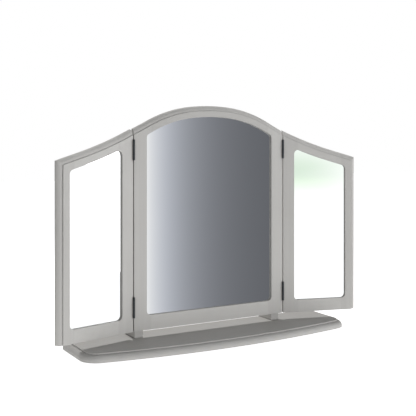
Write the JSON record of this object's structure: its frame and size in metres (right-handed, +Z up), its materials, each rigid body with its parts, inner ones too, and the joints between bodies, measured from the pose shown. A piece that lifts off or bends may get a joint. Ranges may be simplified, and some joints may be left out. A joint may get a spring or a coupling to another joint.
{
  "type": "dressing table mirror",
  "caption": "Free-standing folding mirror for a dressing table: an arched centre panel on a bowed base board, with a hinged wing at each side.",
  "frame": {"origin": "on the table, under the middle of the base board", "axes": "+X to the right as the user sees it, +Y from the front to the back, +Z up"},
  "size_m": [0.9761, 0.216, 0.6755],
  "materials": {
    "painted_wood": "satin light grey paint on wood",
    "mirror_silver": "silvered glass, polished edges",
    "hardboard": "bare hardboard, smooth side out",
    "bare_wood": "unfinished beech",
    "dark_metal": "dark bronzed, low sheen",
    "zinc_steel": "zinc plated",
    "felt": "dense felt"
  },
  "bodies": {
    "stand": {"base_board": "painted_wood", "felt_pads": "felt", "base_screws": "zinc_steel", "left_foot_bracket": "painted_wood", "right_foot_bracket": "painted_wood", "bracket_screws": "zinc_steel", "centre_left_stile": "painted_wood", "centre_right_stile": "painted_wood", "centre_top_rail": "painted_wood", "centre_bottom_rail": "painted_wood", "centre_dowels": "bare_wood", "centre_mirror_glass": "mirror_silver", "centre_back_board": "hardboard", "centre_board_pins": "zinc_steel", "centre_hinge_screws": "dark_metal", "left_upper_hinge_fixed_leaf": "dark_metal", "left_upper_hinge_pin": "dark_metal", "left_lower_hinge_fixed_leaf": "dark_metal", "left_lower_hinge_pin": "dark_metal", "right_upper_hinge_fixed_leaf": "dark_metal", "right_upper_hinge_pin": "dark_metal", "right_lower_hinge_fixed_leaf": "dark_metal", "right_lower_hinge_pin": "dark_metal"},
    "left_wing": {"left_wing_hinge_stile": "painted_wood", "left_wing_outer_stile": "painted_wood", "left_wing_top_rail": "painted_wood", "left_wing_bottom_rail": "painted_wood", "left_wing_dowels": "bare_wood", "left_wing_mirror_glass": "mirror_silver", "left_wing_back_board": "hardboard", "left_wing_board_pins": "zinc_steel", "left_wing_hinge_screws": "dark_metal", "left_upper_hinge_wing_leaf": "dark_metal", "left_lower_hinge_wing_leaf": "dark_metal"},
    "right_wing": {"right_wing_hinge_stile": "painted_wood", "right_wing_outer_stile": "painted_wood", "right_wing_top_rail": "painted_wood", "right_wing_bottom_rail": "painted_wood", "right_wing_dowels": "bare_wood", "right_wing_mirror_glass": "mirror_silver", "right_wing_back_board": "hardboard", "right_wing_board_pins": "zinc_steel", "right_wing_hinge_screws": "dark_metal", "right_upper_hinge_wing_leaf": "dark_metal", "right_lower_hinge_wing_leaf": "dark_metal"}
  },
  "joints": [
    {"name": "left_wing_swing", "type": "hinge", "parent": "stand", "child": "left_wing", "pos_m": [-0.25, 0.023, 0.0455], "axis": [0, 0, 1], "range_deg": [-13, 167]},
    {"name": "right_wing_swing", "type": "hinge", "parent": "stand", "child": "right_wing", "pos_m": [0.25, 0.023, 0.0455], "axis": [0, 0, -1], "range_deg": [-16, 164]}
  ]
}
